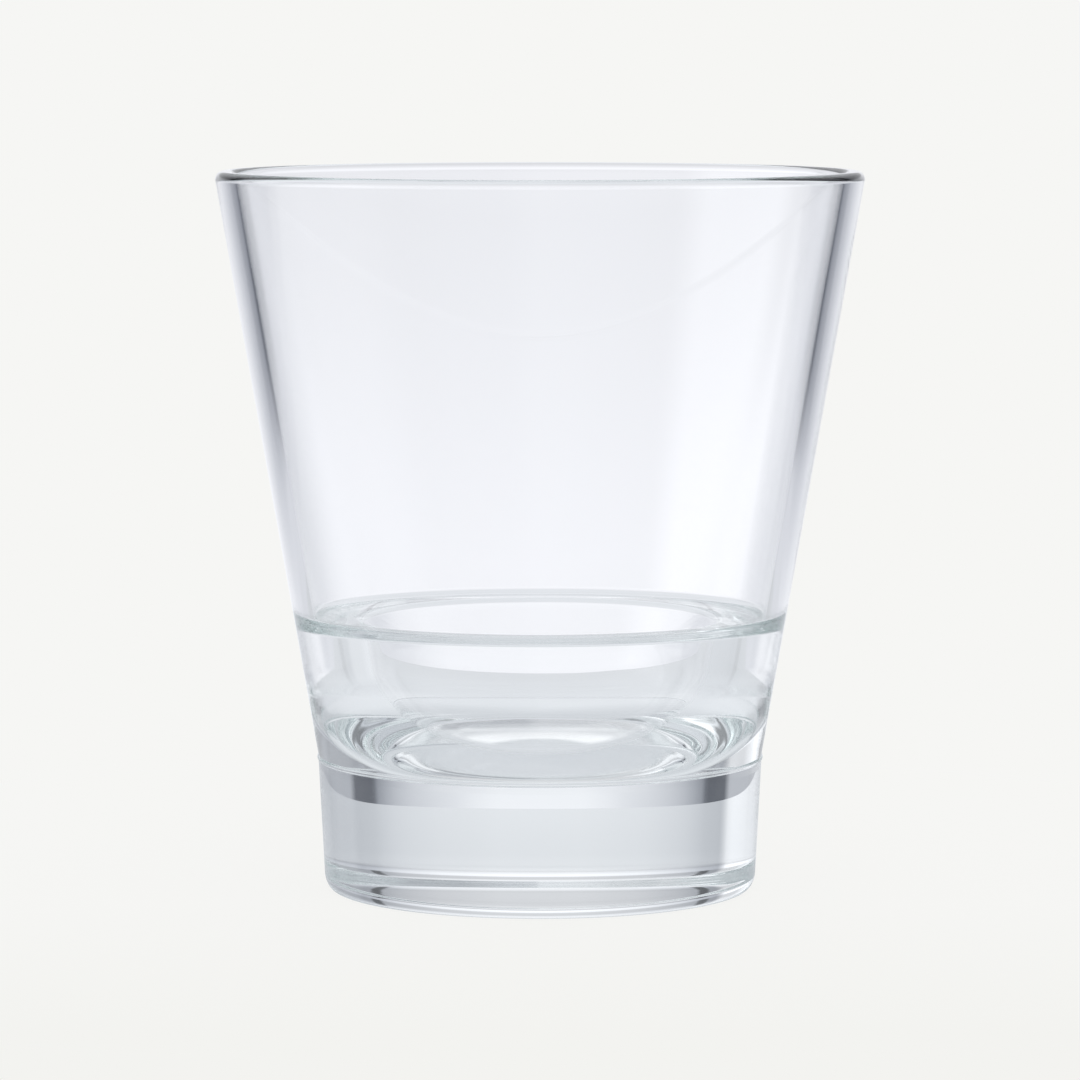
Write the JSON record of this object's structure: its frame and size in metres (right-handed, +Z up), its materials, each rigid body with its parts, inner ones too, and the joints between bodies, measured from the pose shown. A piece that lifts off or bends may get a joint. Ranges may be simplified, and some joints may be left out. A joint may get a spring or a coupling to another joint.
{
  "type": "cortado glass",
  "caption": "Clear stacking tumbler for short milk coffees: tapered bowl, level inner ledge that carries the next glass, smaller cup below it and a heavy solid foot.",
  "frame": {"origin": "on the table, under the middle of the foot", "axes": "+Z up along the axis of the glass; X and Y level, alike because the glass is turned about +Z"},
  "size_m": [0.0796, 0.0796, 0.0887],
  "materials": {
    "clear_glass": "fire-polished clear soda-lime glass"
  },
  "bodies": {
    "root": {"tumbler": "clear_glass"}
  },
  "joints": []
}
